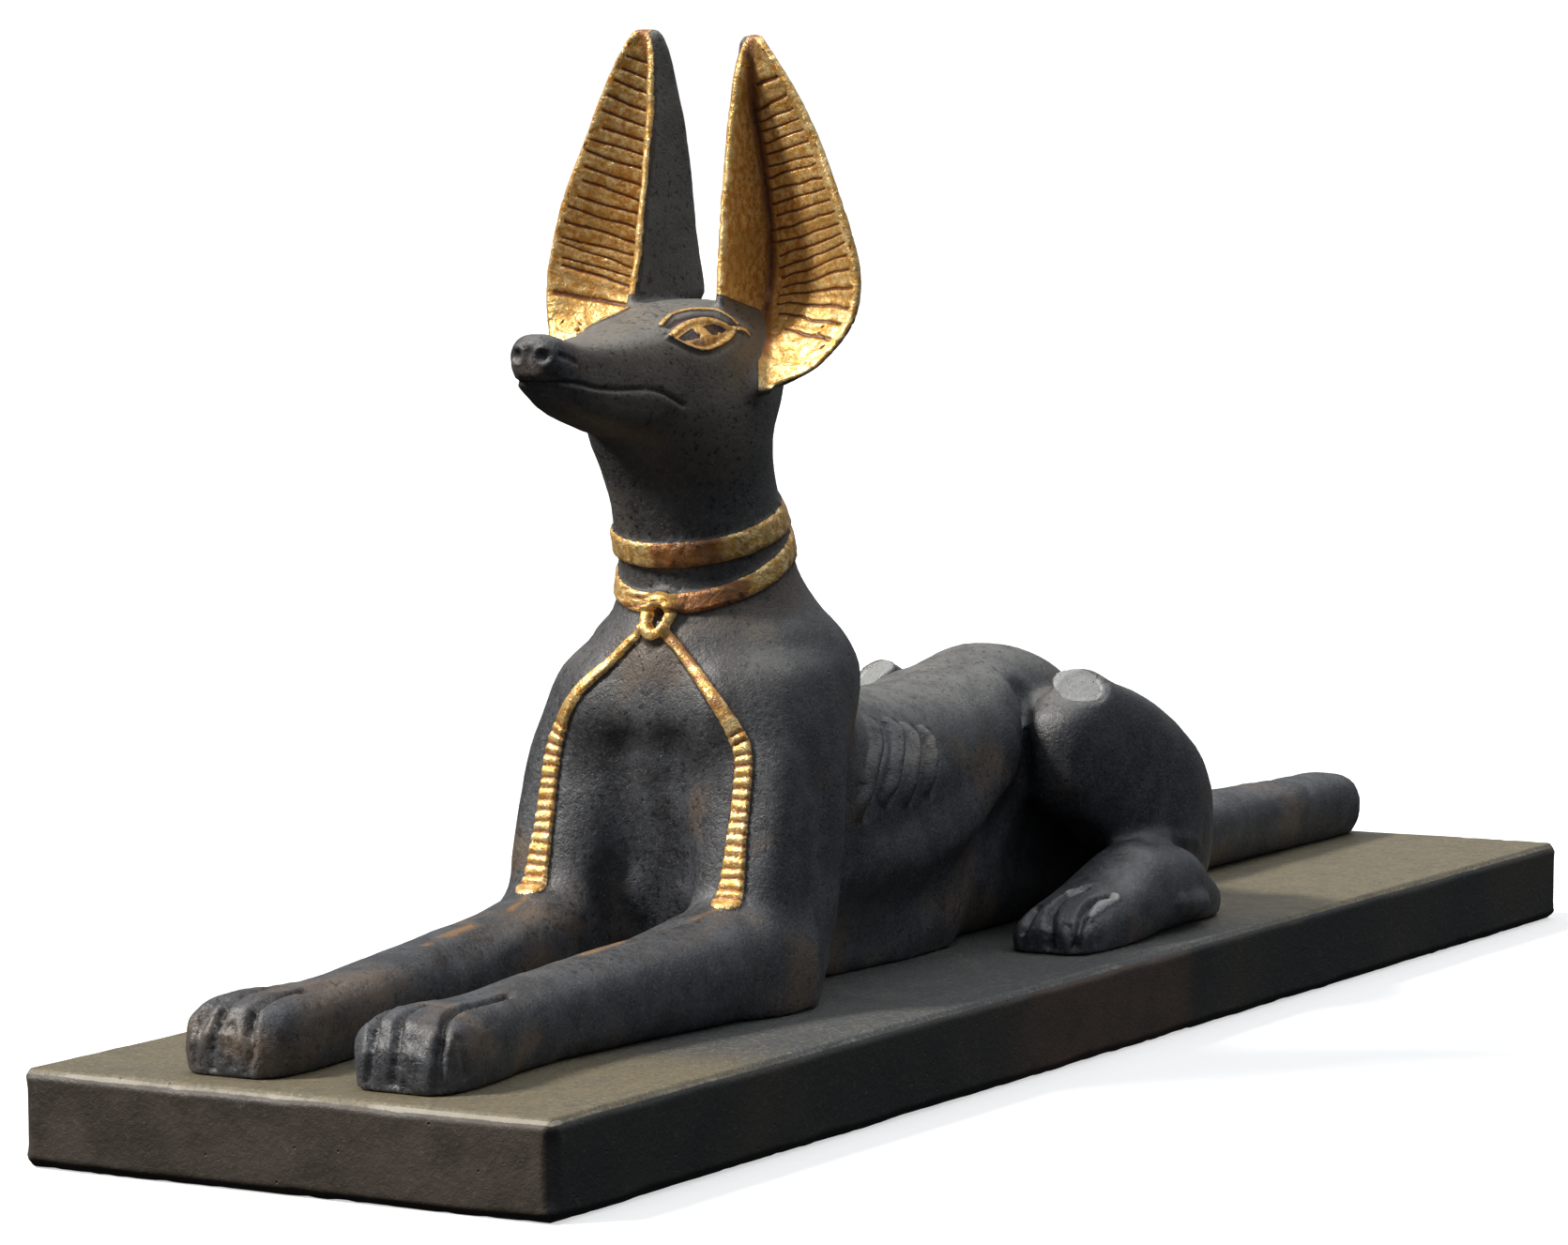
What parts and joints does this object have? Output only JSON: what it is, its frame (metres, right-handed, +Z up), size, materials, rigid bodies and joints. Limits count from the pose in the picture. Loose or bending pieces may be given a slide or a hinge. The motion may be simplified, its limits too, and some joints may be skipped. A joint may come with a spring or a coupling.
{
  "type": "lying jackal statue on a plinth",
  "caption": "Black and gold figure of a lying jackal with upright ears, collar and ribbons, on a long flat plinth.",
  "frame": {"origin": "middle of the plinth's underside", "axes": "+Z up, -Y the way the animal looks, +X its left side"},
  "size_m": [0.112, 0.44, 0.2008],
  "materials": {
    "black_patina": "black satin patina on cast stone, worn and faintly brown, with gilded ears, eyes, collar and ribbons",
    "plinth_paint": "olive brown satin patina on cast stone, worn pale on the edges"
  },
  "bodies": {
    "root": {"anubis_figure": "black_patina", "plinth": "plinth_paint"}
  },
  "joints": []
}
